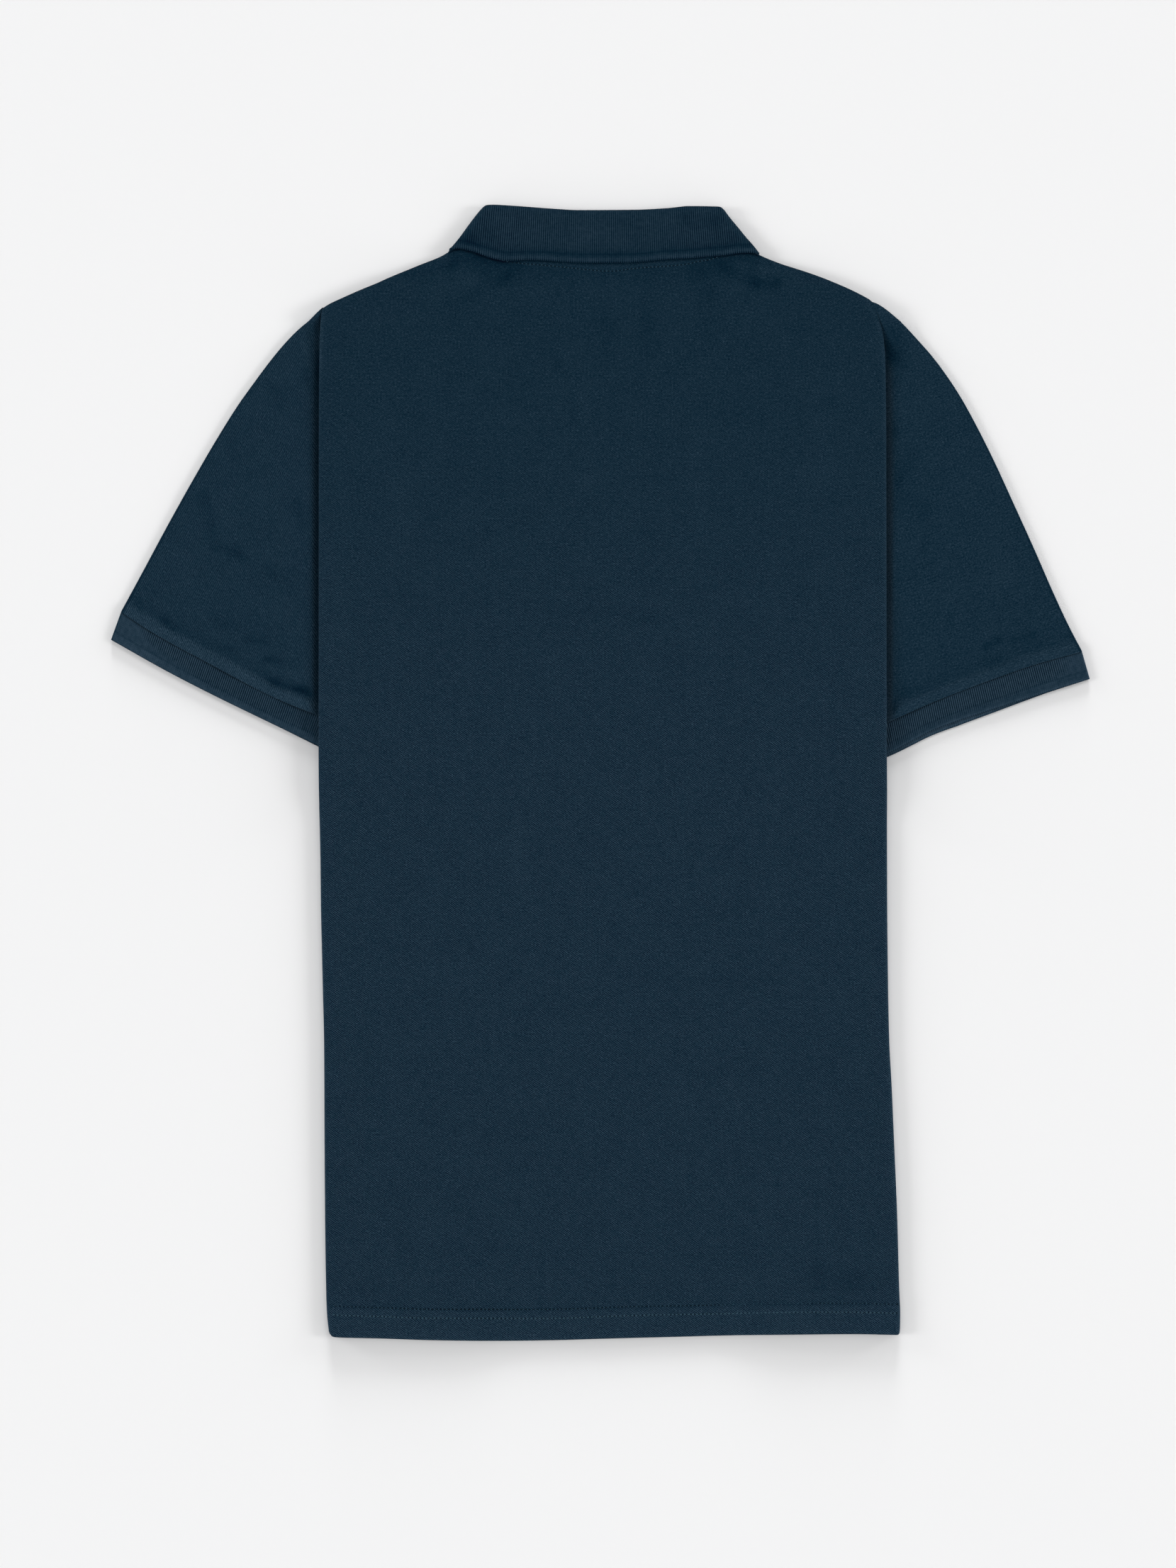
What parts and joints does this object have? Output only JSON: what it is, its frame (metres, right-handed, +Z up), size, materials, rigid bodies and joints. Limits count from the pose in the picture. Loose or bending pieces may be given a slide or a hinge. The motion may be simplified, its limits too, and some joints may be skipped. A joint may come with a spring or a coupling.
{
  "type": "polo shirt",
  "caption": "Short-sleeved knit polo shirt laid flat face down, its sides turned under and its sleeves spread, with a ribbed collar and ribbed cuffs.",
  "frame": {"origin": "on the surface that the shirt lies on, under the middle of its outline", "axes": "+Z up, out of the shirt's back, +Y towards the collar, +X to the right with the back facing up and the collar at the top"},
  "size_m": [0.6556, 0.7602, 0.0086],
  "materials": {
    "pique": "matte cotton pique knit, dark blue green",
    "rib_knit": "matte cotton rib knit, dark blue green",
    "button": "polished, dyed to match the cloth"
  },
  "bodies": {
    "root": {"back": "pique", "front": "pique", "sleeve_left": "pique", "sleeve_right": "pique", "placket_over": "pique", "placket_under": "pique", "cuff_left": "rib_knit", "cuff_right": "rib_knit", "collar": "rib_knit", "button_1": "button", "button_2": "button", "button_3": "button"}
  },
  "joints": []
}
